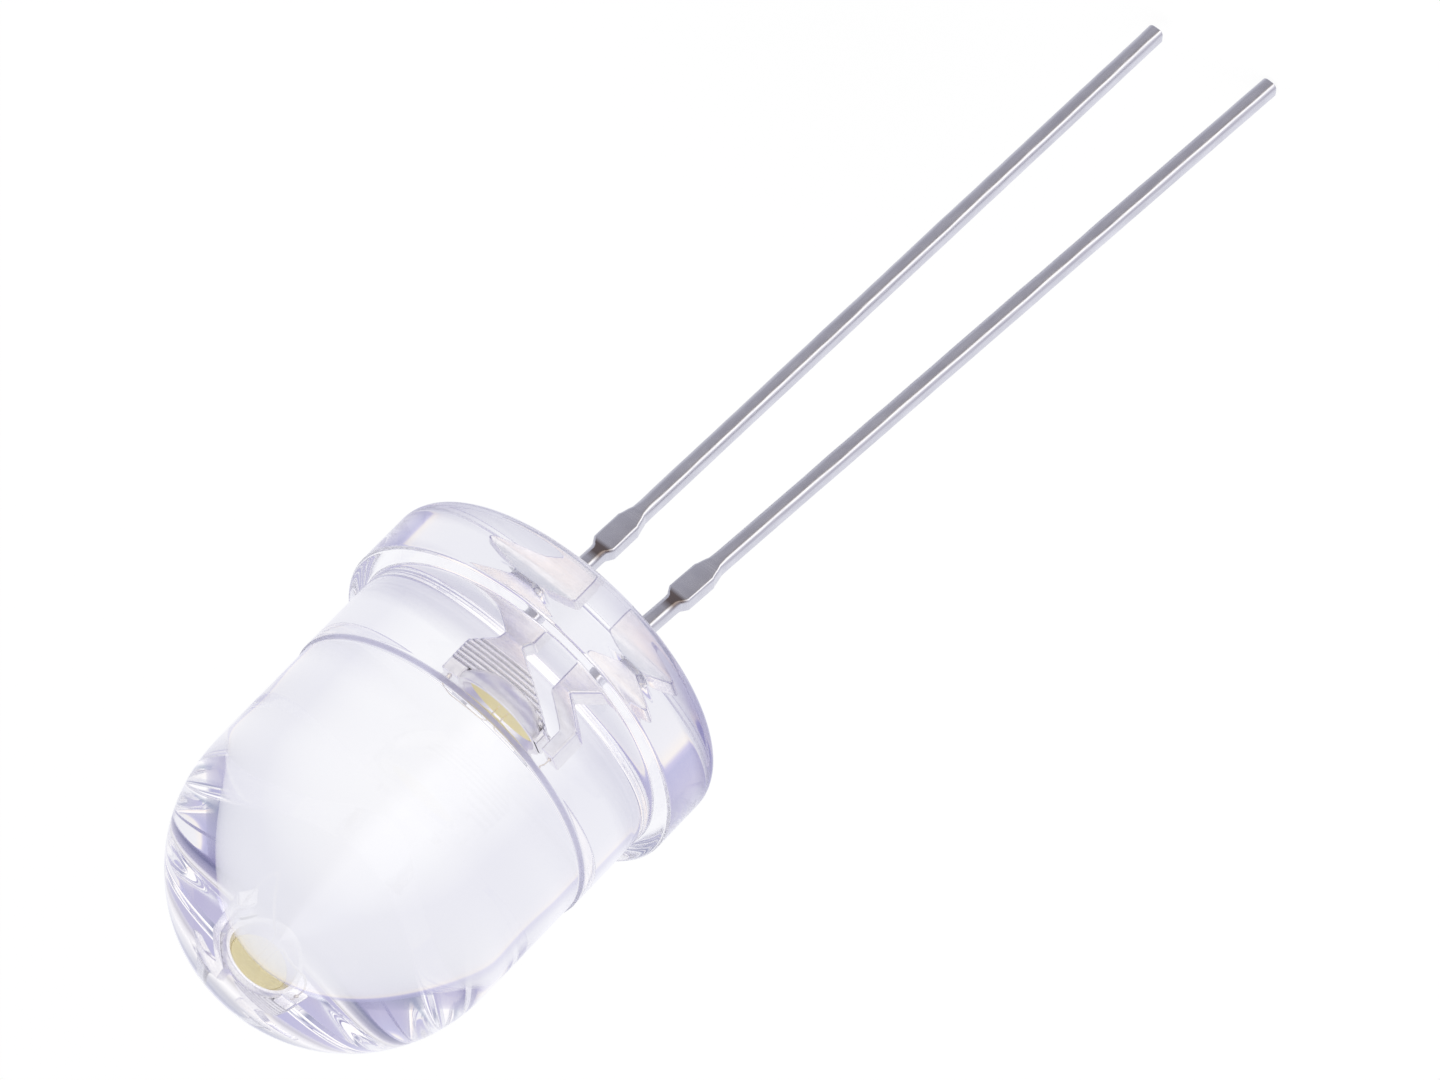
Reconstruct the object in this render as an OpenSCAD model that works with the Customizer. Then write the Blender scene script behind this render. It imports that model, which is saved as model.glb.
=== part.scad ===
// Clear round light-emitting diode with two straight leads, in millimetres.
// The origin is the centre of the flange's back face. +Z runs along the optical
// axis to the dome, the leads leave towards -Z, and the stamped frame lies in the
// XZ plane with the cathode at -X and the anode at +X.

/* [Lens] */
// Diameter of the barrel, which a panel hole or a clip ring takes
barrel_d = 10; // [9:0.05:12]
// How far the flange stands out from the barrel all round
flange_w = 0.55; // [0.35:0.05:1.2]
// Thickness of the flange
flange_t = 2.2; // [1.8:0.05:3]
// Radius on the back edge of the flange
flange_back_r = 0.25; // [0.05:0.05:0.3]
// Radius on the front edge of the flange
flange_front_r = 0.08; // [0.02:0.02:0.2]
// Height of the barrel's wall in front of the flange
barrel_h = 3; // [1.5:0.05:5]
// How far the lens is set in from the barrel at the mould's step
step_w = 0.06; // [0.02:0.01:0.2]
// Height of the lens's straight wall between the step and the dome
lens_h = 3.7; // [1.5:0.05:6]

/* [Leads] */
// Distance between the centre lines of the two leads at the flange
lead_pitch = 2.54; // [2.2:0.01:2.8]
// Width of a lead
lead_w = 0.5; // [0.4:0.01:0.6]
// Thickness of the sheet that the leads and the frame are stamped from
sheet_t = 0.5; // [0.4:0.01:0.6]
// Width of the flat worn along each edge of a lead
edge_flat = 0.11; // [0.03:0.01:0.2]
// Length of the cathode's lead along its own line, from the back of the flange
cathode_len = 27.1; // [12:0.1:30]
// Length of the anode's lead along its own line, from the back of the flange
anode_len = 27.7; // [12:0.1:30]
// Straight stretch behind the flange, before the leads lean
stub_len = 2.1; // [0.5:0.05:3]
// Angle by which both leads lean towards +X
lead_lean = 2.65; // [0:0.05:6]
// Angle by which the anode's lead leans further than the cathode's
lead_splay = 2.3; // [0:0.05:4]
// Distance along a lead from where it leans to the start of its stop
stop_gap = 1.2; // [0.4:0.05:4]
// Length of the widened stop that is left where the tie bar was cut
stop_len = 1.65; // [1:0.05:3]
// Width of the stop
stop_w = 0.76; // [0.65:0.01:1]
// Length over which the stop widens at its end near the flange
stop_near_taper = 0.22; // [0.05:0.01:0.4]
// Length over which the stop narrows at its far end
stop_far_taper = 0.45; // [0.1:0.01:0.55]

/* [Frame] */
// Distance from the lens's axis to the tip of each wing that anchors a lead
wing_reach = 2.2; // [1.9:0.05:3]
// Height of the wings' tips above the back of the flange
wing_z = 0.5; // [0.3:0.05:0.7]
// Height of the blunt end of each wing
wing_tip = 0.12; // [0.06:0.02:0.2]
// Distance from the lens's axis to the inner edge of the cathode's foot
cathode_inner = 0.35; // [0.25:0.01:0.4]
// Distance from the lens's axis to the inner edge of the anode's foot
anode_inner = 0.45; // [0.3:0.01:0.5]
// Height of the cathode's neck above the back of the flange
neck_z = 1.55; // [1.35:0.05:1.7]
// Width of the cathode's neck
neck_w = 0.42; // [0.3:0.02:0.5]
// Height of the anvil's outer wall, up to the cup's rim
anvil_wall_h = 1.15; // [0.8:0.05:1.2]
// How far the anvil reaches past the cup on its outer side
anvil_ear = 0.32; // [0.2:0.02:0.5]
// How far the anvil reaches past the cup on its inner side
anvil_lip = 0.07; // [0.04:0.01:0.15]
// Height of the anvil's end wall on its inner side
anvil_lip_h = 0.4; // [0.3:0.02:0.5]
// Gap between the anvil and the anode's post
post_gap = 0.14; // [0.08:0.01:0.3]
// Gap between the anvil's slope and the slope of the anode's post
slope_gap = 0.36; // [0.2:0.02:0.45]
// Width of the anode's post
post_w = 0.33; // [0.25:0.01:0.45]
// Radius on the frame's stamped corners
stamp_r = 0.06; // [0.02:0.01:0.08]
// Number of coined grooves across each face of the anvil
coin_count = 6; // [2:1:7]
// Distance from one coined groove to the next
coin_pitch = 0.15; // [0.12:0.01:0.16]
// Width of a coined groove
coin_w = 0.07; // [0.03:0.01:0.1]
// Depth of a coined groove
coin_depth = 0.025; // [0.01:0.005:0.04]

/* [Cup] */
// Height of the cup's rim above the back of the flange
cup_z = 3.45; // [3.3:0.05:4]
// Inner diameter of the cup at its rim
cup_d = 1.6; // [1.4:0.05:1.9]
// Thickness of the cup's wall at its rim
cup_wall = 0.13; // [0.08:0.01:0.2]
// Depth of the cup
cup_depth = 0.42; // [0.36:0.02:0.5]
// Inner diameter of the cup at its floor
cup_floor_d = 1.04; // [0.8:0.02:1.2]
// Height of the bowl that bulges from the sheet's faces, from the rim down
bowl_h = 0.9; // [0.75:0.05:1]

/* [Chip] */
// Side of the square die
die_w = 0.36; // [0.25:0.01:0.5]
// Height of the die
die_h = 0.15; // [0.09:0.01:0.18]
// Thickness of the layer that glues the die to the cup's floor
attach_t = 0.02; // [0.01:0.005:0.04]
// How far that layer stands out from the die all round
attach_margin = 0.03; // [0.01:0.01:0.06]
// Depth of phosphor over the die at the middle of the cup
fill_over = 0.06; // [0.04:0.01:0.08]
// How much higher the phosphor stands at the cup's wall than at its middle
fill_rise = 0.04; // [0.02:0.01:0.06]

/* [Bond wires] */
// Diameter of the bond wires
wire_d = 0.03; // [0.025:0.005:0.05]
// Height of the wires' loops above the cup's rim
loop_h = 0.45; // [0.4:0.05:1]
// Radius of a loop above the die
loop_die_r = 0.12; // [0.06:0.01:0.2]
// Radius of a loop above its far end
loop_far_r = 0.3; // [0.15:0.01:0.32]
// Distance of each bonding pad from the middle of the die
pad_x = 0.1; // [0.06:0.01:0.12]
// Diameter of the flattened ball at each end of a wire
ball_d = 0.09; // [0.07:0.01:0.12]
// Height of the flattened ball
ball_h = 0.02; // [0.01:0.005:0.03]

/* [Hidden] */

$fn = 96;
// Overlap that keeps joined and cut shapes from sharing a face
over = 0.2;
// Distance from a stop or the flange at which a lead's edges start to be worn
edge_margin = 0.1;
// Flat steps in each rounded corner of an outline
corner_steps = 4;
// Steps in the curve of the bowl under the cup
bowl_steps = 6;

barrel_r = barrel_d / 2;
flange_r = barrel_r + flange_w;
lens_r = barrel_r - step_w;
barrel_top = flange_t + barrel_h;
dome_z = barrel_top + lens_h;

lead_x = lead_pitch / 2;
stop_at = stub_len + stop_gap;
cathode_lean = lead_lean;
anode_lean = lead_lean + lead_splay;

cup_r = cup_d / 2;
rim_r = cup_r + cup_wall;
floor_r = cup_floor_d / 2;
floor_z = cup_z - cup_depth;
anvil_outer = rim_r + anvil_ear;
anvil_inner = rim_r + anvil_lip;
shoulder_z = cup_z - anvil_wall_h;
lip_z = cup_z - anvil_lip_h;
post_inner = anvil_inner + post_gap;
post_outer = post_inner + post_w;
// Height of the straight root between the back of the flange and each foot
root_z = 0.05;
// Height of each foot's inner corner, and of the bend in its outer edge
foot_z = wing_z - 0.1;
wing_bend_z = wing_z + 0.45;
wing_bend_x = 1.3;
// Inner and outer edges of the cathode's neck
neck_inner = cathode_inner + 0.1;
neck_outer = neck_inner + neck_w;
// Rise of the anvil's sloping underside for each millimetre towards the anode
slope = (lip_z - neck_z) / (anvil_inner + neck_inner);
slope_drop = slope_gap * sqrt(1 + slope * slope);
// How much lower the outer corners of the anode's post are than its inner ones
post_jog = 0.3;
post_low_z = slope_at(anode_inner) - slope_drop;
post_high_z = slope_at(post_inner) - slope_drop;

die_z = floor_z + attach_t;
die_top = die_z + die_h;
fill_mid_z = die_top + fill_over;
fill_z = fill_mid_z + fill_rise;
loop_z = cup_z + loop_h;

// Height of the anvil's sloping underside at a distance x from the axis
function slope_at(x) = neck_z + (x + neck_inner) * slope;

function unit(v) = v / norm(v);
function turned(v, angle) =
    [v.x * cos(angle) - v.y * sin(angle), v.x * sin(angle) + v.y * cos(angle)];

// The points of the arc of radius r that rounds the corner b between a and c
function corner(a, b, c, r) =
    let (u = unit(a - b), v = unit(c - b), half = acos(u * v) / 2,
         middle = b + unit(u + v) * r / sin(half),
         start = b + u * r / tan(half) - middle,
         sweep = (180 - 2 * half) * sign(v.x * u.y - v.y * u.x))
    [for (k = [0 : corner_steps]) middle + turned(start, sweep * k / corner_steps)];

// An open outline of [x, z, radius] points, with each inner corner rounded
function rounded(path) = let (last = len(path) - 1, at = [for (p = path) [p.x, p.y]])
    [for (i = [0 : last])
        each (i == 0 || i == last || path[i].z == 0) ? [at[i]]
            : corner(at[i - 1], at[i], at[i + 1], path[i].z)];

function reversed(list) = [for (i = [len(list) - 1 : -1 : 0]) list[i]];

// A point of a leaning lead: s along it from the flange, off to its +X side
function on_lead(x, lean, s, off) =
    [x, -stub_len] + (s - stub_len) * [sin(lean), -cos(lean)] + off * [cos(lean), sin(lean)];

// One edge of a lead from the back of the flange to its end, on side 1 or -1
function lead_edge(x, lean, length, side) =
    let (w = side * lead_w / 2, wide = side * stop_w / 2, stop_end = stop_at + stop_len)
    [[x + w, 0],
     [x + w, w * tan(lean / 2) - stub_len],
     on_lead(x, lean, stop_at, w),
     on_lead(x, lean, stop_at + stop_near_taper, wide),
     on_lead(x, lean, stop_end - stop_far_taper, wide),
     on_lead(x, lean, stop_end, w),
     on_lead(x, lean, length, w)];

// The whole stamped outline of a lead: its frame inside the lens, then both edges
function blank(frame, x, lean, length) =
    concat(frame, lead_edge(x, lean, length, 1),
           reversed(lead_edge(x, lean, length, -1)));

// The cathode's foot, neck and anvil, clockwise from its outer root to its inner
cathode_frame = rounded([
    [-lead_x - lead_w / 2, root_z, 0],
    [-wing_reach, wing_z, stamp_r / 2],
    [-wing_reach, wing_z + wing_tip, stamp_r / 2],
    [-wing_bend_x, wing_bend_z, stamp_r],
    [-neck_outer, neck_z - 0.08, stamp_r],
    [-neck_outer - 0.03, neck_z + 0.2, stamp_r],
    [-anvil_outer, shoulder_z, 3 * stamp_r],
    [-anvil_outer, cup_z, stamp_r / 2],
    [anvil_inner, cup_z, stamp_r / 2],
    [anvil_inner, lip_z, stamp_r],
    [-neck_inner, neck_z, stamp_r],
    [-cathode_inner, neck_z - 0.3, stamp_r],
    [-cathode_inner, foot_z, stamp_r],
    [-lead_x + lead_w / 2, root_z, 0]]);

// The anode's foot and post, clockwise from its inner root to its outer
anode_frame = rounded([
    [lead_x - lead_w / 2, root_z, 0],
    [anode_inner, foot_z, stamp_r],
    [anode_inner, post_low_z, 2 * stamp_r],
    [post_inner, post_high_z, 2 * stamp_r],
    [post_inner, cup_z, stamp_r / 2],
    [post_outer, cup_z, stamp_r / 2],
    [post_outer, post_high_z - post_jog, 2 * stamp_r],
    [anode_inner + post_w, post_low_z - post_jog, stamp_r],
    [wing_bend_x, wing_bend_z, 2 * stamp_r],
    [wing_reach, wing_z + wing_tip, stamp_r / 2],
    [wing_reach, wing_z, stamp_r / 2],
    [lead_x + lead_w / 2, root_z, 0]]);

// A flat outline in the XZ plane, given the sheet's thickness
module stamped(outline)
    rotate([90, 0, 0]) linear_extrude(sheet_t, center = true) polygon(outline);

// Bars that cut the four edges of a leaning lead between two places along it
module edge_cuts(x, lean, from, to)
    translate([x, 0, -stub_len]) rotate([0, -lean, 0])
        for (sx = [-1, 1], sy = [-1, 1])
            translate([sx * lead_w / 2, sy * sheet_t / 2, stub_len - to])
                rotate(atan2(sy, sx)) translate([-edge_flat / 2, -edge_flat, 0])
                    cube([2 * edge_flat, 2 * edge_flat, to - from]);

// Every stretch of a lead whose edges are worn: its stub, then each side of its stop
module worn_edges(x, lean, length) {
    edge_cuts(x, 0, edge_margin, stub_len + edge_margin / 2);
    edge_cuts(x, lean, stub_len - edge_margin / 2, stop_at - edge_margin);
    edge_cuts(x, lean, stop_at + stop_len + edge_margin, length + over);
}

// The coined grooves across one face of the anvil, on side 1 or -1
module coined_grooves(side)
    for (k = [0 : coin_count - 1])
        translate([0, side * sheet_t / 2, shoulder_z - coin_w + k * coin_pitch])
            rotate([90, 0, 90])
                linear_extrude(2 * anvil_outer + 2 * over, center = true)
                    polygon([[-coin_depth * side, 0], [coin_depth * side, -coin_w],
                             [coin_depth * side, coin_w]]);

// The bowl pressed out of the sheet round the cup: straight at the rim, then curved
module bowl() {
    straight = cup_wall;
    drop = bowl_h - straight;
    rotate_extrude()
        polygon(concat(
            [[0, cup_z], [rim_r, cup_z]],
            [for (k = [0 : bowl_steps - 1]) let (a = 90 * k / bowl_steps)
                [rim_r * cos(a), cup_z - straight - drop * sin(a)]],
            [[0, cup_z - bowl_h]]));
}

// The tapered hollow of the cup up to height z
module cup_hollow(z) {
    spread = (cup_r - floor_r) / cup_depth;
    translate([0, 0, floor_z])
        cylinder(h = z - floor_z, r1 = floor_r, r2 = floor_r + (z - floor_z) * spread);
}

module cathode_lead() {
    color([0.72, 0.72, 0.75])
        difference() {
            union() {
                difference() {
                    stamped(blank(cathode_frame, -lead_x, cathode_lean, cathode_len));
                    coined_grooves(1);
                    coined_grooves(-1);
                    worn_edges(-lead_x, cathode_lean, cathode_len);
                }
                bowl();
            }
            cup_hollow(cup_z + over);
        }
}

module anode_lead() {
    color([0.72, 0.72, 0.75])
        difference() {
            stamped(blank(anode_frame, lead_x, anode_lean, anode_len));
            worn_edges(lead_x, anode_lean, anode_len);
        }
}

module die_attach() {
    side = die_w + 2 * attach_margin;
    color([0.8, 0.8, 0.78])
        translate([-side / 2, -side / 2, floor_z]) cube([side, side, attach_t]);
}

module led_die() {
    color([0.75, 0.85, 0.9])
        translate([-die_w / 2, -die_w / 2, die_z]) cube([die_w, die_w, die_h]);
}

// The phosphor's whole volume in the cup, its top dished between the walls
module fill() {
    rise_r = floor_r + (fill_z - floor_z) * (cup_r - floor_r) / cup_depth;
    dish_r = (rise_r * rise_r + fill_rise * fill_rise) / (2 * fill_rise);
    difference() {
        cup_hollow(fill_z + over / 2);
        translate([0, 0, fill_mid_z + dish_r]) sphere(dish_r);
    }
}

module phosphor() {
    color([0.93, 0.87, 0.5])
        difference() {
            fill();
            die_attach();
            led_die();
            cathode_wire();
            anode_wire();
        }
}

// A wire from the die to a far end: up from its pad, over and down, towards side
module bond_wire(far_x, side) {
    r = wire_d / 2;
    rise = loop_z - loop_die_r;
    fall = loop_z - loop_far_r;
    mirror([side < 0 ? 1 : 0, 0, 0]) {
        translate([pad_x, 0, die_top]) {
            cylinder(h = ball_h, d = ball_d);
            cylinder(h = rise - die_top, r = r);
        }
        translate([pad_x + loop_die_r, 0, rise]) rotate([90, 0, 0])
            rotate_extrude(angle = 90, start = 90) translate([loop_die_r, 0]) circle(r);
        translate([pad_x + loop_die_r, 0, loop_z]) rotate([0, 90, 0])
            cylinder(h = far_x - pad_x - loop_die_r - loop_far_r, r = r);
        translate([far_x - loop_far_r, 0, fall]) rotate([90, 0, 0])
            rotate_extrude(angle = 90, start = 0) translate([loop_far_r, 0]) circle(r);
        translate([far_x, 0, cup_z]) {
            cylinder(h = ball_h, d = ball_d);
            cylinder(h = fall - cup_z, r = r);
        }
    }
}

module cathode_wire() {
    color("gold") bond_wire((rim_r + anvil_outer) / 2, -1);
}

module anode_wire() {
    color("gold") bond_wire((post_inner + post_outer) / 2, 1);
}

// The lens's outer form: flange, barrel, step, straight wall and dome
module lens_form() {
    rotate_extrude()
        union() {
            polygon(rounded([
                [0, 0, 0],
                [flange_r, 0, flange_back_r],
                [flange_r, flange_t, flange_front_r],
                [barrel_r, flange_t, 0],
                [barrel_r, barrel_top, 0],
                [lens_r, barrel_top + step_w, 0],
                [lens_r, dome_z, 0],
                [0, dome_z, 0]]));
            intersection() {
                translate([0, dome_z]) circle(lens_r);
                translate([0, dome_z - over]) square([lens_r, lens_r + 2 * over]);
            }
        }
}

// The resin is cast round the frame, so its hollow is the frame's own form
module lens() {
    color([0.92, 0.94, 1, 0.35])
        difference() {
            lens_form();
            cathode_lead();
            anode_lead();
            fill();
            cathode_wire();
            anode_wire();
        }
}

lens();
cathode_lead();
anode_lead();
led_die();
die_attach();
phosphor();
cathode_wire();
anode_wire();
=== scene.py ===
"""Clear round light-emitting diode with two straight leads, dressed for a photograph."""

import math

import bpy
import numpy as np
from mathutils import Matrix, Vector

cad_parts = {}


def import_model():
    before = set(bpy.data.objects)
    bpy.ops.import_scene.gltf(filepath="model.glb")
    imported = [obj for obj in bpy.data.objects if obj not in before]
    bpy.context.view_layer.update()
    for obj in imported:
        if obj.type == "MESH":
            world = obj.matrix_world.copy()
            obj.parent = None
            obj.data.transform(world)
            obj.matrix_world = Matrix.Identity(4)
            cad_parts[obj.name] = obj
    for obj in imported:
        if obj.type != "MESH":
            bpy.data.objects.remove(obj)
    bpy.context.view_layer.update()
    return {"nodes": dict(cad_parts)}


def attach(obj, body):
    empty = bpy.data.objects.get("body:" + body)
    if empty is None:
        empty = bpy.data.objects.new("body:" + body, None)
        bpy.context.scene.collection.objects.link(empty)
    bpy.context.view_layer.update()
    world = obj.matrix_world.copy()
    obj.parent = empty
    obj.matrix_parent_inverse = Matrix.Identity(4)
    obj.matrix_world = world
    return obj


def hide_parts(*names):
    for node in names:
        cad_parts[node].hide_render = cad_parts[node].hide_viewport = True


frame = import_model()

MM = 0.001
TAU = 2 * math.pi

# Sizes of the diode in millimetres, as its drawing gives them
BARREL_R = 5.0
FLANGE_R = 5.55
FLANGE_T = 2.2
BARREL_TOP = 5.2
LENS_R = 4.94
DOME_Z = 8.9
LEAD_X = 1.27
LEAD_HALF = 0.25
STUB = 2.1
STOP_AT = 3.3
STOP_END = 4.95
STOP_HALF = 0.38
CUP_TOP = 3.45
CUP_R = 0.8
RIM_R = 0.93
FLOOR_R = 0.52
FLOOR_Z = 3.03
BOWL_LOW = 2.55
STEP_SIDE = (0.371, 0.928)
SPREAD = 1.2


# ---------------------------------------------------------------- surfaces

def piece(name, parts, node, material):
    """One object in the row frame from several closed surfaces, each (points in mm, faces, uv)."""
    points, faces, uvs, start = [], [], [], 0
    for at, quads, uv in parts:
        points.append(at)
        faces.extend([tuple(int(i) + start for i in q) for q in quads])
        uvs.append(uv)
        start += len(at)
    points, uvs = np.concatenate(points), np.concatenate(uvs)
    mesh = bpy.data.meshes.new(name)
    mesh.from_pydata((points * MM).tolist(), [], faces)
    mesh.polygons.foreach_set("use_smooth", np.ones(len(mesh.polygons), bool))
    corner = np.empty(len(mesh.loops), np.int32)
    mesh.loops.foreach_get("vertex_index", corner)
    layer = mesh.uv_layers.new(name="along")
    layer.data.foreach_set("uv", uvs[corner].astype(np.float32).ravel())
    mesh.materials.append(material)
    mesh.update()
    made = bpy.data.objects.new(name, mesh)
    bpy.context.scene.collection.objects.link(made)
    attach(made, "root")
    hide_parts(node)
    return made


def tube_faces(rows, around, first_cap=True, last_cap=True):
    """Quads between rows of points that each close on themselves, and one flat face at each end."""
    i, j = np.meshgrid(np.arange(rows - 1), np.arange(around), indexing="ij")
    k = (j + 1) % around
    quads = np.stack([i * around + j, i * around + k, (i + 1) * around + k, (i + 1) * around + j], -1)
    faces = quads.reshape(-1, 4).tolist()
    if first_cap:
        faces.append(list(range(around - 1, -1, -1)))
    if last_cap:
        faces.append(list(range((rows - 1) * around, rows * around)))
    return faces


def turned(profile, around=256, dent=None):
    """A surface of revolution about Z: (r cos a, r sin a, z) for each profile point (r, z) and angle a.
    The profile runs from the axis at the bottom, out and up, and back to the axis at the top."""
    r, z = profile[1:-1, 0], profile[1:-1, 1]
    a = np.arange(around) * TAU / around
    ring = np.stack([r[:, None] * np.cos(a), r[:, None] * np.sin(a), z[:, None] + 0 * a], -1).reshape(-1, 3)
    rows = len(r)
    points = np.concatenate([ring, [[0, 0, profile[0, 1]], [0, 0, profile[-1, 1]]]])
    if dent is not None:
        points[:, 2] += dent(points)
    faces = tube_faces(rows, around, False, False)
    low, high, top = rows * around, rows * around + 1, (rows - 1) * around
    faces += [(low, (j + 1) % around, j) for j in range(around)]
    faces += [(high, top + j, top + (j + 1) % around) for j in range(around)]
    length = np.concatenate([[0], np.cumsum(np.hypot(*np.diff(profile, axis=0).T))])
    uv = np.stack([np.tile(a / TAU, rows), np.repeat(length[1:-1], around)], -1)
    uv = np.concatenate([uv, [[0, 0], [0, length[-1]]]])
    return points, faces, uv


def arc(centre, radius, start, end, steps):
    """Points centre + radius (cos t, sin t) for t from start to end in degrees."""
    t = np.radians(np.linspace(start, end, steps + 1))
    return np.stack([centre[0] + radius * np.cos(t), centre[1] + radius * np.sin(t)], -1)


def line(start, end, margin=0.02, middle=1):
    """A straight stretch of profile, with extra points close to its ends that keep its flat flat."""
    start, end = np.asarray(start, float), np.asarray(end, float)
    near = margin / np.hypot(*(end - start))
    t = np.concatenate([[0, near], np.linspace(near, 1 - near, middle + 1)[1:-1], [1 - near, 1]])
    return start + t[:, None] * (end - start)


def joined(*stretches):
    """Profile stretches one after another, with the doubled points between them left out."""
    points = np.concatenate(stretches)
    keep = np.concatenate([[True], np.hypot(*np.diff(points, axis=0).T) > 1e-6])
    return points[keep]


def section(half_x, half_y, radius, back_radius, steps=8):
    """A rectangle with rounded corners for each row: corner centre + r (cos t, sin t), where r is
    radius for the corners towards +Y and back_radius for the others. Gives (rows, points, 2)."""
    out = []
    for quarter in range(4):
        sx = 1 if quarter in (0, 3) else -1
        sy = 1 if quarter in (0, 1) else -1
        r = radius if sy > 0 else back_radius
        t = np.radians(90 * quarter + np.linspace(0, 90, steps + 1))
        cx, cy = sx * (half_x - r), sy * (half_y - r)
        x = cx[:, None] + r[:, None] * np.cos(t)
        y = cy[:, None] + r[:, None] * np.sin(t)
        out.append(np.stack([x, y], -1))
    return np.concatenate(out, 1)


def strip(centre, direction, half_x, half_y, radius, back_radius, along):
    """A rounded rectangle carried along a path in the XZ plane: centre + x (across, in the plane)
    + y (out of the plane), with its own half sizes and corner radius on every row."""
    shape = section(half_x, half_y, radius, back_radius)
    across = np.stack([direction[:, 1], -direction[:, 0]], -1)
    x = centre[:, None, 0] + shape[..., 0] * across[:, None, 0]
    z = centre[:, None, 1] + shape[..., 0] * across[:, None, 1]
    points = np.stack([x, shape[..., 1], z], -1)
    rows, around = points.shape[:2]
    step = np.linalg.norm(np.diff(points, axis=1, append=points[:, :1]), axis=-1)
    u = np.cumsum(step, 1)
    uv = np.stack([u, np.repeat(along[:, None], around, 1)], -1).reshape(-1, 2)
    return points.reshape(-1, 3), tube_faces(rows, around), uv


# ---------------------------------------------------------------- materials

class Nodes:
    """Short ways to put nodes into one tree. A value is another node's socket or a plain number."""

    def __init__(self, tree):
        self.tree, self.link = tree, tree.links.new

    def add(self, kind, **values):
        """A node, with its settings and the numbers in its sockets."""
        node = self.tree.nodes.new(kind)
        for key, value in values.items():
            if hasattr(node, key):
                setattr(node, key, value)
            else:
                node.inputs[key].default_value = value
        return node

    def plug(self, value, socket):
        """Joins a socket to a value, or writes a plain number into it."""
        if isinstance(value, bpy.types.NodeSocket):
            self.link(value, socket)
        else:
            socket.default_value = value

    def maths(self, operation, *values):
        """One sum, product or other operation on numbers."""
        node = self.add("ShaderNodeMath", operation=operation)
        for value, socket in zip(values, node.inputs):
            self.plug(value, socket)
        return node.outputs[0]

    def span(self, value, low, high, first=0.0, last=1.0):
        """A number that goes from first to last while the value goes from low to high."""
        node = self.add("ShaderNodeMapRange")
        for name, number in zip(("From Min", "From Max", "To Min", "To Max"), (low, high, first, last)):
            node.inputs[name].default_value = number
        self.link(value, node.inputs["Value"])
        return node.outputs[0]

    def parts(self, vector):
        """The x, y and z of a vector."""
        node = self.add("ShaderNodeSeparateXYZ")
        self.link(vector, node.inputs[0])
        return node.outputs

    def dot(self, vector, direction):
        """A vector's length along a direction."""
        node = self.add("ShaderNodeVectorMath", operation="DOT_PRODUCT")
        node.inputs[1].default_value = direction
        self.link(vector, node.inputs[0])
        return node.outputs["Value"]

    def noise(self, vector, **values):
        """Soft random spots over a vector."""
        node = self.add("ShaderNodeTexNoise", **values)
        self.link(vector, node.inputs["Vector"])
        return node.outputs["Fac"]

    def ramp(self, value, stops):
        """A colour for each value, between stops that are each (place, colour)."""
        node = self.add("ShaderNodeValToRGB")
        band = node.color_ramp
        while len(band.elements) > 1:
            band.elements.remove(band.elements[-1])
        band.elements[0].position, band.elements[0].color = stops[0][0], (*stops[0][1], 1)
        for place, colour in stops[1:]:
            band.elements.new(place).color = (*colour, 1)
        self.link(value, node.inputs["Fac"])
        return node.outputs["Color"]

    def mix(self, share, first, second, kind="MIX"):
        """Two colours mixed by a share of the second."""
        node = self.add("ShaderNodeMix", data_type="RGBA", blend_type=kind)
        for name, value in (("Factor", share), ("A", first), ("B", second)):
            self.plug(value, node.inputs[name])
        return node.outputs["Result"]

    def bump(self, height, strength, distance, shader):
        """Fine relief on a shader, distance in metres."""
        node = self.add("ShaderNodeBump", Strength=strength, Distance=distance)
        self.link(height, node.inputs["Height"])
        self.link(node.outputs[0], shader.inputs["Normal"])


def shader_of(material):
    """A material's own shader."""
    return material.node_tree.nodes["Principled BSDF"]


def new_finish(name):
    """A new material, its shader and its nodes."""
    material = bpy.data.materials.new(name)
    material.use_nodes = True
    return material, shader_of(material), Nodes(material.node_tree)


def tinned_metal(name, low, high, rough):
    """Bright tin plating with marks drawn along the strip and a fine grain across it."""
    material, shader, nodes = new_finish(name)
    place = nodes.add("ShaderNodeMapping", Scale=(26, 0.9, 1))
    nodes.link(nodes.add("ShaderNodeUVMap", uv_map="along").outputs[0], place.inputs["Vector"])
    drawn = nodes.noise(place.outputs[0], Scale=1.0, Detail=4.0, Roughness=0.6)
    spots = nodes.noise(nodes.add("ShaderNodeTexCoord").outputs["Object"], Scale=5200.0, Detail=3.0)
    nodes.link(nodes.ramp(drawn, [(0.3, low), (0.7, high)]), shader.inputs["Base Color"])
    nodes.link(nodes.span(spots, 0.3, 0.7, rough - 0.06, rough + 0.08), shader.inputs["Roughness"])
    nodes.bump(drawn, 0.35, 0.004 * MM, shader)
    shader.inputs["Metallic"].default_value = 1.0
    return material


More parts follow.
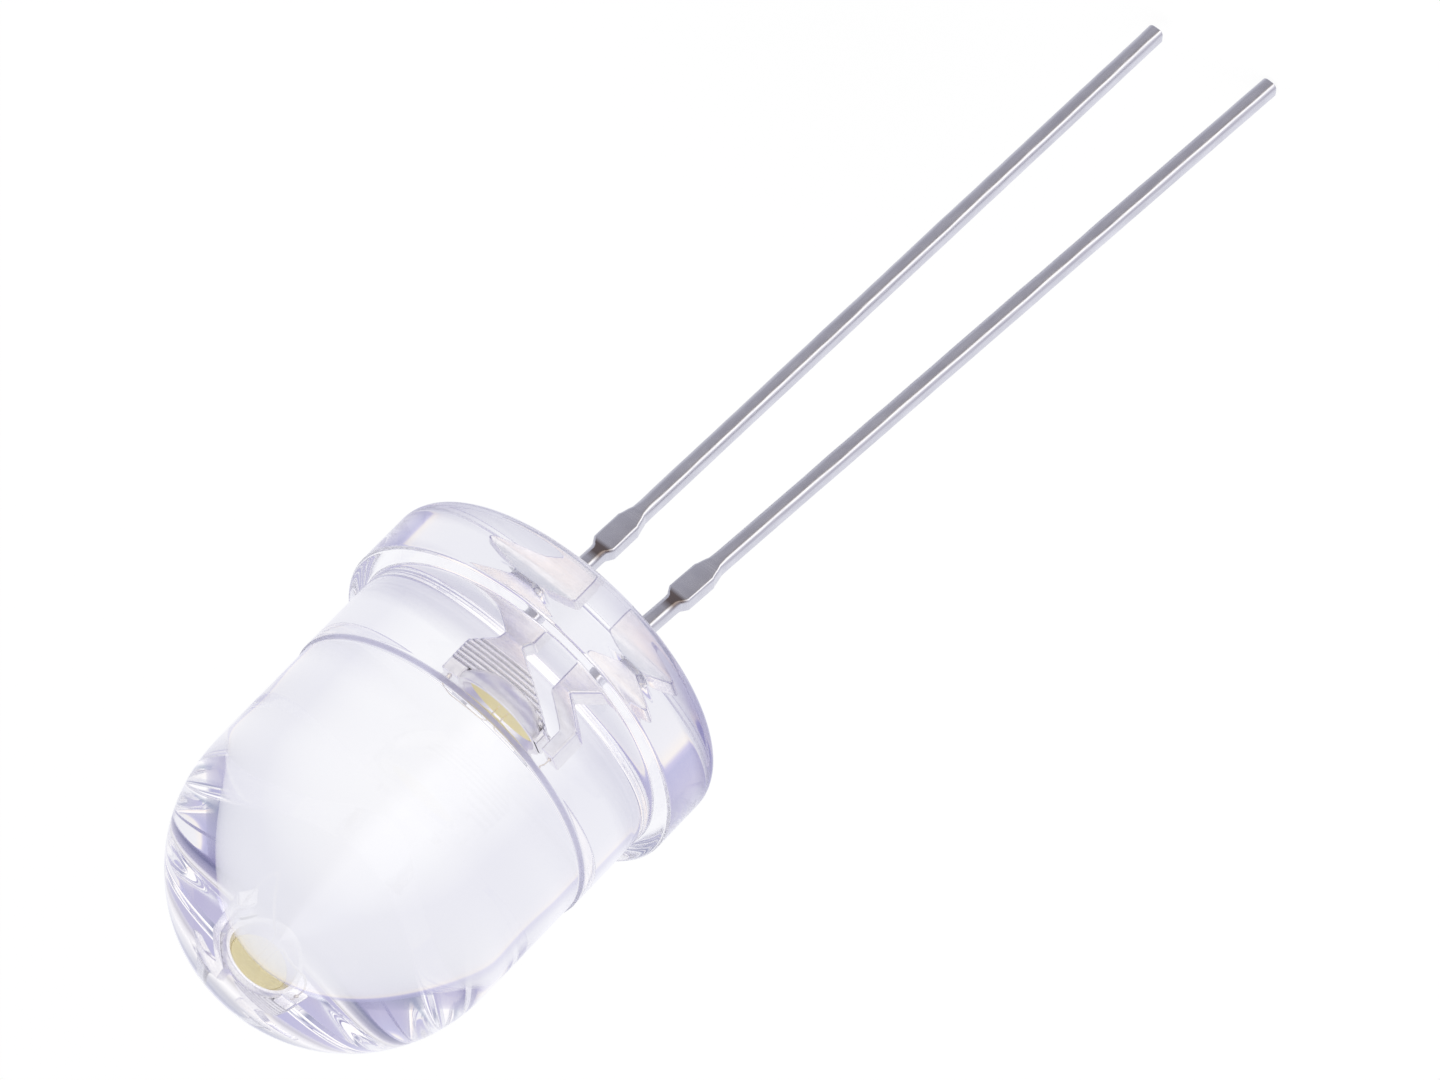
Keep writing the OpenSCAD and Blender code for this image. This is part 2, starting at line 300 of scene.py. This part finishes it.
def clear_epoxy():
    """Cast clear epoxy: a smooth skin with a very faint waviness and a trace of blue. Along the mould's
    step line, left unpolished, it has a satin roughness and a painted lavender shade, which fades on
    its far side. Round the back edge it has a painted darker blue shade, most of all towards -X and +X."""
    material, shader, nodes = new_finish("clear_epoxy")
    at = nodes.add("ShaderNodeTexCoord").outputs["Object"]
    wave = nodes.noise(at, Scale=260.0, Detail=1.0)
    across, _, height = nodes.parts(at)
    off_step = nodes.maths("ABSOLUTE", nodes.maths("SUBTRACT", height, BARREL_TOP * MM))
    # The step line's satin roughness is real; the lavender it lays on the colour is painted shade, on the
    # side towards STEP_SIDE only.
    step_satin_and_shade = nodes.maths("MULTIPLY", nodes.span(off_step, 0.06 * MM, 0.10 * MM, 1.0, 0.0),
                        nodes.span(nodes.dot(at, (*STEP_SIDE, 0)), -2.6 * MM, -1.0 * MM))
    # Painted shade: a darker blue band round the back edge, stronger towards -X and +X.
    painted_rim_shade = nodes.maths("MULTIPLY", nodes.span(height, 0.02 * MM, 0.1 * MM),
                         nodes.span(height, 0.5 * MM, 1.1 * MM, 1.0, 0.0))
    painted_rim_shade = nodes.maths("MULTIPLY", painted_rim_shade,
                         nodes.span(nodes.maths("ABSOLUTE", across), 1.5 * MM, 5.0 * MM, 0.3, 1.0))
    colour = nodes.ramp(wave, [(0.35, (0.985, 0.985, 1.0)), (0.65, (1.0, 1.0, 1.0))])
    # Both tints mixed in here are painted shade on the epoxy's own colour.
    for share, shade_tint in ((step_satin_and_shade, (0.52, 0.51, 0.68, 1)), (painted_rim_shade, (0.24, 0.22, 0.42, 1))):
        colour = nodes.mix(share, colour, shade_tint)
    nodes.link(colour, shader.inputs["Base Color"])
    nodes.link(nodes.maths("MULTIPLY", step_satin_and_shade, 0.3), shader.inputs["Roughness"])
    nodes.bump(wave, 0.05, 0.02 * MM, shader)
    shader.inputs["IOR"].default_value = 1.51
    shader.inputs["Transmission Weight"].default_value = 1.0
    return material


def darkened(material, share, colour):
    """Multiplies a material's colour by another, by a share."""
    nodes, base = Nodes(material.node_tree), shader_of(material).inputs["Base Color"]
    nodes.link(nodes.mix(share, base.links[0].from_socket, colour, "MULTIPLY"), base)
    return material


def coined(material, low, high, pitch):
    """Paints shade into a strip's colour along its coined grooves: one darker line each pitch mm, from low
    to high."""
    nodes = Nodes(material.node_tree)
    height = nodes.parts(nodes.add("ShaderNodeTexCoord").outputs["Object"])["Z"]
    part = nodes.maths("FRACT", nodes.span(height, low * MM, high * MM, 0.0, (high - low) / pitch))
    bright, groove_shade = (1, 1, 1), (0.56, 0.56, 0.58)
    shade_lines = nodes.ramp(part, [(0.0, bright), (0.26, bright), (0.42, groove_shade), (0.58, groove_shade), (0.74, bright)])
    return darkened(material, 1.0, shade_lines)


def painted_dark_reflection(material):
    """Paints a dark brown reflection onto the broad face of a lead at the near end of the stop: a patch
    bounded along the lead and round it by its own u and v, both in mm, and on the Y side by its place in
    metres."""
    nodes = Nodes(material.node_tree)
    around, along, _ = nodes.parts(nodes.add("ShaderNodeUVMap", uv_map="along").outputs[0])
    out = nodes.parts(nodes.add("ShaderNodeTexCoord").outputs["Object"])["Y"]
    share = nodes.span(along, 2.85, 3.1)
    for other in (nodes.span(along, 3.38, 3.52, 1.0, 0.0), nodes.span(around, 0.28, 0.38),
                  nodes.span(out, 0.14 * MM, 0.21 * MM)):
        share = nodes.maths("MULTIPLY", share, other)
    return darkened(material, share, (0.34, 0.28, 0.25, 1))


def grained(name, low, high, scale, rough, bump_mm, metallic=0.0):
    """A matt or metal finish whose colour and surface vary with a fine grain."""
    material, shader, nodes = new_finish(name)
    at = nodes.add("ShaderNodeTexCoord").outputs["Object"]
    grain = nodes.noise(at, Scale=scale, Detail=5.0, Roughness=0.65)
    nodes.link(nodes.ramp(grain, [(0.32, low), (0.68, high)]), shader.inputs["Base Color"])
    nodes.bump(grain, 0.5, bump_mm * MM, shader)
    shader.inputs["Roughness"].default_value = rough
    shader.inputs["Metallic"].default_value = metallic
    return material


EPOXY = clear_epoxy()
# The leads carry a painted dark reflection just before each stop.
TIN = painted_dark_reflection(tinned_metal("tinned_strip", (0.62, 0.62, 0.66), (0.76, 0.76, 0.79), 0.24))
SILVER = grained("silver_plating", (0.93, 0.91, 0.91), (0.99, 0.98, 0.97), 9000, 0.34, 0.004, 1.0)
PHOSPHOR_PAINTED_GLOW = grained("phosphor", (0.96, 0.84, 0.40), (1.0, 0.94, 0.60), 22000, 0.6, 0.006)
# Painted glow: the phosphor gives off a faint yellow light, though it is no lamp.
shader_of(PHOSPHOR_PAINTED_GLOW).inputs["Emission Color"].default_value = (1.0, 0.85, 0.38, 1)
shader_of(PHOSPHOR_PAINTED_GLOW).inputs["Emission Strength"].default_value = 0.16
PLATE_LOW, PLATE_HIGH = (0.88, 0.87, 0.89), (0.99, 0.98, 0.98)
FRAME = tinned_metal("silver_plated_frame", PLATE_LOW, PLATE_HIGH, 0.16)
# The anvil's plate has painted shade along its coined grooves.
COINED_WITH_PAINTED_SHADE = coined(tinned_metal("coined_silver_plate_painted_shade", PLATE_LOW, PLATE_HIGH, 0.16), 2.005, 3.055, 0.15)
GOLD = grained("pale_gold_wire", (0.93, 0.88, 0.78), (0.98, 0.94, 0.87), 30000, 0.22, 0.001, 1.0)
DIE = grained("die_face", (0.55, 0.7, 0.8), (0.75, 0.85, 0.9), 26000, 0.25, 0.001)
GLUE = grained("die_glue", (0.7, 0.7, 0.68), (0.85, 0.85, 0.82), 30000, 0.6, 0.002)


# ---------------------------------------------------------------- clear lens

def step_radius(t):
    """The moulded step's radius: the middle one + half the step's height cos(pi t), t from 0 to 1."""
    return (BARREL_R + LENS_R) / 2 + (BARREL_R - LENS_R) / 2 * np.cos(math.pi * t)


def step_curve(low, high, steps):
    """The moulded step in (r, z): the radius eases from the barrel's to the lens's from low to high."""
    t = np.linspace(0, 1, steps + 1)
    return np.stack([step_radius(t), low + (high - low) * t], -1)


def dome_curve(ease, steps):
    """The wall's turn into the dome. The curvature rises from nothing to 1 / R as a smooth step over
    the ease length, the slope is its sum along the curve, and r and z are the sums of the slope's
    sine and cosine. R makes the curve reach the axis level."""
    ball = LENS_R - ease ** 2 / (24 * LENS_R)
    fine = np.linspace(0, ease / 2 + ball * math.pi / 2, 20001)
    t = np.clip(fine / ease, 0, 1)
    bend = t * t * (3 - 2 * t) / ball
    gap = fine[1]

    def summed(rate):
        return np.concatenate([[0], np.cumsum((rate[1:] + rate[:-1]) / 2 * gap)])

    slope = summed(bend)
    r = LENS_R - summed(np.sin(slope))
    z = DOME_Z - ease / 2 + summed(np.cos(slope))
    pick = np.linspace(0, 0.994, steps + 1) * (len(fine) - 1)
    at = np.arange(len(fine))
    return np.stack([np.interp(pick, at, r), np.interp(pick, at, z)], -1), z[-1]


def lens_profile():
    """The lens's outline in (r, z): back face, rounded flange, barrel, moulded step, wall and dome."""
    back, front, foot, ease, half_step = 0.42, 0.09, 0.06, 1.2, 0.10
    rings = np.concatenate([np.linspace(0.1, 0.6, 6), np.linspace(0.7, 1.9, 44),
                            np.linspace(2.0, FLANGE_R - back - 0.06, 16)])
    dome, top = dome_curve(ease, 108)
    return joined(
        [[0, 0]],
        np.stack([rings, 0 * rings], -1),
        arc((FLANGE_R - back, back), back, -90, 0, 12),
        line((FLANGE_R, back), (FLANGE_R, FLANGE_T - front), 0.06, 6),
        arc((FLANGE_R - front, FLANGE_T - front), front, 0, 90, 8),
        line((FLANGE_R - front, FLANGE_T), (BARREL_R + foot, FLANGE_T), 0.05, 3),
        arc((BARREL_R + foot, FLANGE_T + foot), foot, 270, 180, 7),
        line((BARREL_R, FLANGE_T + foot), (BARREL_R, BARREL_TOP - half_step), 0.06, 26),
        step_curve(BARREL_TOP - half_step, BARREL_TOP + half_step, 8),
        line((LENS_R, BARREL_TOP + half_step), (LENS_R, DOME_Z - ease / 2), 0.06, 28),
        dome, [[0, top]])


def meniscus(points):
    """Resin drawn a little way down each lead: z falls by 0.16 exp(-d / 0.11), d mm from the lead."""
    away = np.full(len(points), 9.0)
    for side in (-1, 1):
        dx = np.maximum(np.abs(points[:, 0] - side * LEAD_X) - LEAD_HALF, 0)
        dy = np.maximum(np.abs(points[:, 1]) - LEAD_HALF, 0)
        away = np.minimum(away, np.hypot(dx, dy))
    back = (points[:, 2] < 0.001) & (np.hypot(points[:, 0], points[:, 1]) < FLANGE_R - 0.5)
    return np.where(back, -0.16 * np.exp(-away / 0.11), 0)


def lens():
    """The turned lens, with its moulded step spread to 1.2 mm each way on the far side: r goes from
    the sharp step's to the spread one's by the smooth step of -c / 0.45, where c is the cosine of the
    angle from STEP_SIDE."""
    points, faces, uv = turned(lens_profile(), 288, meniscus)
    r = np.hypot(points[:, 0], points[:, 1])
    near = (np.abs(points[:, 2] - BARREL_TOP) < SPREAD) & (r > LENS_R - 0.01)
    r, z = r[near], points[near, 2]
    t = np.clip(-(points[near, 0] * STEP_SIDE[0] + points[near, 1] * STEP_SIDE[1]) / r / 0.45, 0, 1)
    share = t * t * (3 - 2 * t)
    spread = step_radius((z - BARREL_TOP + SPREAD) / (2 * SPREAD))
    points[near, :2] *= (1 + share * (spread - r) / r)[:, None]
    return points, faces, uv


piece("clear_lens", [lens()], "lens", EPOXY)


# ---------------------------------------------------------------- leads and frame

def wobble(along, seed, size):
    """A slight unevenness along a strip: a sum of five sines of seeded lengths and phases."""
    rng = np.random.default_rng(seed)
    waves = rng.uniform(0.35, 3.2, 5)
    phases = rng.uniform(0, TAU, 5)
    return size * np.sin(along[:, None] / waves * TAU / 2 + phases).sum(1) / 5


def lead(side, lean, length, seed):
    """The outer lead from inside the flange to its tip: a straight stub, a lean of so many degrees,
    the stop where the tie bar was cut, and a square tip. Its path is the sum of its direction over
    the distance s, and its half widths and corner radius go straight between values along s."""
    s = np.unique(np.concatenate([
        np.linspace(-0.3, STUB + 1.1, 40), np.linspace(STOP_AT - 0.06, STOP_AT + 0.3, 25),
        np.linspace(STOP_AT + 0.3, STOP_END + 0.06, 45), np.linspace(STOP_END + 0.1, length - 0.06, 150),
        length - 0.05 * (1 - np.sin(np.radians(np.linspace(0, 90, 6))))]))
    lean_at = math.radians(lean) * np.clip((s - STUB + 0.25) / 0.5, 0, 1)
    direction = np.stack([np.sin(lean_at), -np.cos(lean_at)], -1)
    start = np.array([side * LEAD_X, 0.3])
    steps = np.diff(s)[:, None] * (direction[1:] + direction[:-1]) / 2
    centre = start + np.concatenate([[[0, 0]], np.cumsum(steps, 0)])
    half = np.interp(s, [STOP_AT, STOP_AT + 0.18, STOP_AT + 0.22,
                         STOP_END - 0.45, STOP_END - 0.38, STOP_END],
                     [LEAD_HALF, STOP_HALF - 0.02, STOP_HALF, STOP_HALF, STOP_HALF - 0.03, LEAD_HALF])
    worn = np.interp(s, [0, 0.2, STOP_AT - 0.1, STOP_AT + 0.05, STOP_END - 0.15, STOP_END + 0.3, length],
                     [0.06, 0.16, 0.16, 0.09, 0.09, 0.16, 0.16])
    tip = np.sqrt(np.clip(1 - ((s - (length - 0.05)) / 0.05).clip(0) ** 2, 0, 1))
    inset = 0.05 * (1 - tip)
    uneven = wobble(s, seed, 0.006)
    half_x = half - inset - 0.004 + 0.3 * uneven
    half_y = LEAD_HALF - inset - 0.004 + 0.3 * wobble(s, seed + 1, 0.006)
    radius = np.clip(worn + wobble(s, seed + 2, 0.02) * (worn > 0.06), 0.012, 0.2)
    return strip(centre, direction, half_x, half_y, radius, np.clip(0.5 * radius, 0.012, 0.1), s)


def edge(z, corners, soft=0.05):
    """x of an outline at each height z, between its corners (x, z), its corners softened by a
    moving mean over a few steps."""
    corners = np.asarray(corners, float)
    fine = np.linspace(-soft, soft, 9)
    return np.mean([np.interp(z + d, corners[:, 1], corners[:, 0]) for d in fine], 0)


def grooves(z):
    """Depth of the coined grooves at height z: seven rounded notches, 0.15 mm apart."""
    middle = 2.08 + 0.15 * np.arange(7)
    near = np.abs(z[:, None] - middle).min(1)
    return 0.04 * np.clip(1 - (near / 0.05) ** 2, 0, 1)


def plate(z, left, right, top_cap=0.0, inside=0.0, coined=False):
    """A stretch of stamped frame: at each height z a rounded rectangle from left to right, its faces
    inside mm below the strip's own."""
    half_y = np.full(len(z), LEAD_HALF - 0.002 - inside)
    if coined:
        half_y -= grooves(z)
    inset = np.zeros(len(z))
    if top_cap:
        inset = top_cap * (1 - np.sqrt(np.clip(1 - ((z - (z[-1] - top_cap)) / top_cap).clip(0) ** 2, 0, 1)))
    middle, half_x = (left + right) / 2, (right - left) / 2 - 0.002
    centre = np.stack([middle, z], -1)
    direction = np.tile([0.0, 1.0], (len(z), 1))
    radius = np.full(len(z), 0.055)
    return strip(centre, direction, half_x - inset, half_y - inset, radius, radius, z)


def heights(low, high, count, cap=0.0):
    """Rows from low to high, closer together over the last cap mm."""
    z = np.linspace(low, high - cap, count)
    if cap:
        z = np.concatenate([z, high - cap + cap * np.sin(np.radians(np.linspace(15, 90, 6)))])
    return z


ANVIL_OUT = [(-1.5, 0.05), (-2.2, 0.5), (-2.2, 0.62), (-1.3, 0.95), (-0.87, 1.47), (-0.9, 1.75),
             (-1.25, 2.3), (-1.25, 3.6)]
ANVIL_IN = [(-1.04, 0.05), (-0.35, 0.4), (-0.35, 1.25), (-0.45, 1.55), (1.0, 3.05), (1.0, 3.6)]
POST_IN = [(1.04, 0.05), (0.45, 0.4), (0.45, 1.963), (1.14, 2.677), (1.14, 3.6)]
POST_OUT = [(1.5, 0.05), (2.2, 0.5), (2.2, 0.62), (1.3, 0.95), (0.78, 1.663), (1.47, 2.377), (1.47, 3.6)]


def anvil():
    """The cathode's foot, neck and coined anvil, then the ear and the lip on each side of the cup."""
    z = heights(0.06, 2.98, 260)
    body = plate(z, edge(z, ANVIL_OUT), edge(z, ANVIL_IN), coined=True)
    z = heights(2.9, CUP_TOP, 50, 0.03)
    ear = plate(z, edge(z, ANVIL_OUT) + 0.004, np.full(len(z), -0.87), 0.03, 0.004, coined=True)
    z = heights(2.86, CUP_TOP, 50, 0.03)
    lip = plate(z, 0.87 - 0.3 * np.clip(3.05 - z, 0, 1), edge(z, ANVIL_IN) - 0.004, 0.03, 0.004)
    return [body, ear, lip]


def post():
    """The anode's foot and its slanted post."""
    z = heights(0.06, CUP_TOP, 300, 0.03)
    return [plate(z, edge(z, POST_IN), edge(z, POST_OUT), 0.03)]


piece("cathode_tail", [lead(-1, 2.65, 27.1, 3)], "cathode_lead", TIN)
piece("anode_tail", [lead(1, 4.95, 27.7, 8)], "anode_lead", TIN)
piece("cathode_anvil", anvil(), "cathode_lead", COINED_WITH_PAINTED_SHADE)
piece("anode_post", post(), "anode_lead", FRAME)


# ---------------------------------------------------------------- cup, chip and wires

def cup_profile():
    """The cup's section: curved bowl outside, rounded rim, tapered wall and flat floor inside."""
    t = np.radians(np.linspace(88, 0, 24))
    bowl = np.stack([RIM_R * np.cos(t), 3.32 - 0.77 * np.sin(t)], -1)
    rim = 0.03
    return joined(
        [[0, BOWL_LOW]], bowl, line((RIM_R, 3.32), (RIM_R, CUP_TOP - rim), 0.01),
        arc((RIM_R - rim, CUP_TOP - rim), rim, 0, 90, 5),
        line((RIM_R - rim, CUP_TOP), (CUP_R + rim, CUP_TOP), 0.005),
        arc((CUP_R + rim, CUP_TOP - rim), rim, 90, 180, 5),
        line((CUP_R, CUP_TOP - rim), (FLOOR_R + 0.02, FLOOR_Z + 0.02), 0.02, 4),
        line((FLOOR_R, FLOOR_Z), (0.02, FLOOR_Z), 0.01, 4), [[0, FLOOR_Z]])


def fill_profile():
    """The phosphor: flat below, tapered side, and a top that rises from the middle to the wall."""
    r = np.linspace(0.69, 0.01, 30)
    dish = 3.26 + 0.04 * (r / 0.7) ** 4 + 0.012 * np.exp(-(((r - 0.1) / 0.16) ** 2))
    low = FLOOR_Z - 0.005
    return joined([[0, low]], line((0.01, low), (FLOOR_R + 0.01, low), 0.01),
                  line((FLOOR_R + 0.015, FLOOR_Z), (0.70, 3.29), 0.01, 3), np.stack([r, dish], -1),
                  [[0, dish[-1]]])


def bond(far_x, side):
    """A bond wire: up from its pad, over a quarter circle, along, down a larger one to its far end,
    with its round section carried along that path and swollen into a ball at both ends."""
    low, top, near, far, foot = 3.2, 3.9, 0.12, 0.3, 0.1
    path = joined(line((foot, low), (foot, top - near), 0.02, 8),
                  arc((foot + near, top - near), near, 180, 90, 10),
                  line((foot + near, top), (far_x - far, top), 0.02, 10),
                  arc((far_x - far, top - far), far, 90, 0, 14),
                  line((far_x, top - far), (far_x, CUP_TOP), 0.02, 3))
    path[:, 0] *= side
    ends = np.minimum(np.arange(len(path)), np.arange(len(path))[::-1])
    radius = np.where(ends <= 1, 0.044, 0.015)
    ahead = np.gradient(path, axis=0)
    ahead /= np.hypot(*ahead.T)[:, None]
    across = np.stack([ahead[:, 1], -ahead[:, 0]], -1)
    t = np.arange(16) * TAU / 16
    x = path[:, None, 0] + radius[:, None] * np.cos(t) * across[:, None, 0]
    z = path[:, None, 1] + radius[:, None] * np.cos(t) * across[:, None, 1]
    points = np.stack([x, radius[:, None] * np.sin(t), z], -1)
    along = np.repeat(np.arange(len(path)) * 0.05, 16)
    return points.reshape(-1, 3), tube_faces(len(path), 16), np.stack([np.tile(t, len(path)), along], -1)


piece("reflector_cup", [turned(cup_profile(), 128)], "cathode_lead", SILVER)
piece("phosphor_fill", [turned(fill_profile(), 96)], "phosphor", PHOSPHOR_PAINTED_GLOW)
piece("cathode_bond", [bond(1.09, -1)], "cathode_wire", GOLD)
piece("anode_bond", [bond(1.305, 1)], "anode_wire", GOLD)
for node, material in (("led_die", DIE), ("die_attach", GLUE)):
    solid = frame["nodes"][node]
    solid.data.materials.clear()
    solid.data.materials.append(material)


# ---------------------------------------------------------------- camera

CAMERA_AWAY = 300
SENSOR = 36
PHOTO_WIDTH = 1440
FOCAL_PIXELS = 11112


def camera():
    """The photograph's view: a long lens 300 mm away, rolled so that the leads rise to the right."""
    roll, tilt, spin = math.radians(45.93), math.radians(27.29), math.radians(21.8)
    up = np.array([-math.cos(roll) * math.cos(tilt), math.sin(roll) * math.cos(tilt), -math.sin(tilt)])
    level = np.array([math.sin(roll), math.cos(roll), 0])
    third = np.cross(up, level)
    right, down, away = np.stack([math.cos(spin) * level + math.sin(spin) * third,
                                  -math.sin(spin) * level + math.cos(spin) * third, up], 1)
    place = -(-4.37 * right + 3.07 * down + CAMERA_AWAY * away) * MM
    data = bpy.data.cameras.new("camera")
    data.sensor_width, data.lens = SENSOR, FOCAL_PIXELS / PHOTO_WIDTH * SENSOR
    data.clip_start, data.clip_end = 0.01, 10
    made = bpy.data.objects.new("camera", data)
    matrix = np.eye(4)
    matrix[:3, 0], matrix[:3, 1], matrix[:3, 2], matrix[:3, 3] = right, -down, -away, place
    made.matrix_world = Matrix(matrix.tolist())
    bpy.context.scene.collection.objects.link(made)
    bpy.context.scene.camera = made


camera()


# ---------------------------------------------------------------- surroundings

TABLE_WAY = (-0.2, -0.93, -0.3)


def world():
    """White to the camera. Glass and metal see a white table with a lavender-grey room above it."""
    made = bpy.data.worlds.new("room")
    bpy.context.scene.world = made
    made.use_nodes = True
    made.node_tree.nodes.clear()
    nodes = Nodes(made.node_tree)
    at = nodes.add("ShaderNodeTexCoord").outputs["Generated"]
    black, full = (0, 0, 0), (1, 1, 1)

    def banded(direction, stops, strength=1.0):
        """A colour for each angle from a direction. Its place is half the angle's cosine plus a half."""
        unit = np.array(direction, float) / np.linalg.norm(direction)
        place = nodes.maths("MULTIPLY_ADD", nodes.dot(at, unit), 0.5, 0.5)
        return nodes.ramp(place, [(stop, [strength * part for part in colour]) for stop, colour in stops])

    def about(stops):
        """A colour for each bearing round Z, in degrees from +Y towards +X."""
        x, y, _ = nodes.parts(at)
        place = nodes.maths("MULTIPLY_ADD", nodes.maths("ARCTAN2", x, y), 1 / TAU, 0.5)
        return nodes.ramp(place, [(0.5 + degrees / 360, colour) for degrees, colour in stops])

    table = banded(TABLE_WAY, [
        (0.25, (0.34, 0.36, 0.52)), (0.31, (0.31, 0.32, 0.47)), (0.37, (0.43, 0.42, 0.61)),
        (0.58, (0.50, 0.47, 0.68)), (0.68, (0.49, 0.48, 0.72)), (0.695, (0.60, 0.57, 0.80)),
        (0.708, (0.97, 0.91, 0.87)), (0.735, (0.89, 0.88, 0.92)), (0.78, (0.86, 0.86, 0.91)),
        (0.92, (0.85, 0.85, 0.91)), (0.975, (0.95, 0.95, 0.98)), (1.00, (0.98, 0.98, 1.00))])
    ceiling = banded((0, 0, 1), [
        (0.00, (0.40, 0.40, 0.48)), (0.20, (0.50, 0.50, 0.58)), (0.29, (1.00, 0.98, 0.98)),
        (0.34, (0.82, 0.80, 0.82)), (0.38, (0.56, 0.54, 0.57)), (0.44, (0.72, 0.70, 0.74)),
        (0.50, (1.00, 0.92, 0.92)), (0.545, (0.36, 0.42, 0.55)), (0.59, (0.42, 0.46, 0.58)),
        (0.63, (1.10, 1.08, 1.08)), (0.70, (0.98, 0.97, 0.99)), (0.77, (1.02, 0.98, 0.97)),
        (0.81, (1.05, 0.90, 0.82)), (0.85, (1.10, 1.08, 1.07)), (1.00, (0.95, 0.94, 0.97))], 1.06)
    pale = banded((0, 0, 1), [(0.0, (0.84, 0.84, 0.90)), (1.0, (0.86, 0.86, 0.91))])
    level = banded((0, 0, 1), [(0.15, black), (0.22, full), (0.50, full), (0.58, black)])
    away = about([(-180, black), (-105, black), (-85, full), (98, full), (116, black), (180, black)])
    table = nodes.mix(nodes.maths("MULTIPLY", level, away), table, pale)
    above = banded(TABLE_WAY, [(0.22, full), (0.29, black)])
    window = banded((-0.1, 0.15, 0.98), [(0.0, black), (0.93, black), (0.985, (0.5, 0.5, 0.5)),
                                         (1.0, (0.6, 0.6, 0.6))])
    through = nodes.mix(1.0, nodes.mix(above, table, ceiling), window, "ADD")
    gloss = about([
        (-180, (1.0, 1.0, 1.05)), (-120, (0.85, 0.85, 0.9)), (-60, (0.62, 0.62, 0.7)),
        (-35, (0.50, 0.50, 0.57)), (-20, (0.43, 0.42, 0.48)), (-4, (0.40, 0.38, 0.39)),
        (8, (0.55, 0.50, 0.47)), (20, (1.6, 1.55, 1.5)), (42, (1.6, 1.6, 1.6)), (62, (0.85, 0.83, 0.9)),
        (92, (0.66, 0.64, 0.73)), (125, (0.85, 0.85, 0.93)), (158, (0.95, 0.95, 1.02)),
        (180, (1.0, 1.0, 1.05))])

    ray = nodes.add("ShaderNodeLightPath").outputs
    colour = nodes.mix(ray["Is Glossy Ray"], (0.95, 0.95, 0.97, 1), gloss)
    colour = nodes.mix(ray["Is Transmission Ray"], colour, through)
    colour = nodes.mix(ray["Is Camera Ray"], colour, (1, 1, 1, 1))
    back, out = nodes.add("ShaderNodeBackground"), nodes.add("ShaderNodeOutputWorld")
    nodes.link(colour, back.inputs["Color"])
    nodes.link(back.outputs[0], out.inputs["Surface"])


def table_top():
    """A plain white floor under the lead tips. The camera sees it white, with a soft shadow."""
    mesh = bpy.data.meshes.new("floor")
    wide, low = 0.6, -0.0277
    corners = [(-wide, -wide, low), (wide, -wide, low), (wide, wide, low), (-wide, wide, low)]
    mesh.from_pydata(corners, [], [(0, 1, 2, 3)])
    made = bpy.data.objects.new("floor", mesh)
    bpy.context.scene.collection.objects.link(made)
    material, shader, nodes = new_finish("pale_floor")
    mesh.materials.append(material)
    shader.inputs["Base Color"].default_value = (0.9, 0.9, 0.9, 1)
    shader.inputs["Roughness"].default_value = 0.9
    glow = nodes.add("ShaderNodeEmission", Color=(1, 1, 1, 1))
    ray = nodes.add("ShaderNodeLightPath").outputs

    def mixed(share, first, second):
        """Two shaders mixed by a share of the second."""
        node = nodes.add("ShaderNodeMixShader")
        for value, socket in zip((share, first.outputs[0], second.outputs[0]), node.inputs):
            nodes.link(value, socket)
        return node

    seen = mixed(nodes.maths("MULTIPLY", ray["Is Camera Ray"], 0.94), shader, glow)
    either = nodes.maths("MAXIMUM", ray["Is Glossy Ray"], ray["Is Transmission Ray"])
    last = mixed(either, seen, nodes.add("ShaderNodeBsdfTransparent"))
    nodes.link(last.outputs[0], nodes.tree.nodes["Material Output"].inputs["Surface"])


def lamp(name, place, aim, size, power, colour):
    """A soft square lamp at place, facing aim."""
    data = bpy.data.lights.new(name, "AREA")
    data.shape, data.size, data.energy, data.color = "SQUARE", size, power, colour
    made = bpy.data.objects.new(name, data)
    made.visible_glossy = made.visible_transmission = False
    made.location = place
    made.rotation_mode = "QUATERNION"
    made.rotation_quaternion = (Vector(aim) - Vector(place)).to_track_quat("-Z", "Y")
    bpy.context.scene.collection.objects.link(made)


world()
table_top()
lamp("overhead", (0.12, 0.10, 0.30), (0, 0, 0), 0.16, 0.5, (1.0, 0.98, 0.96))

scene = bpy.context.scene
scene.view_settings.view_transform = "Standard"
scene.cycles.max_bounces = 64
scene.cycles.transmission_bounces = 64
scene.cycles.glossy_bounces = 64
scene.cycles.transparent_max_bounces = 12
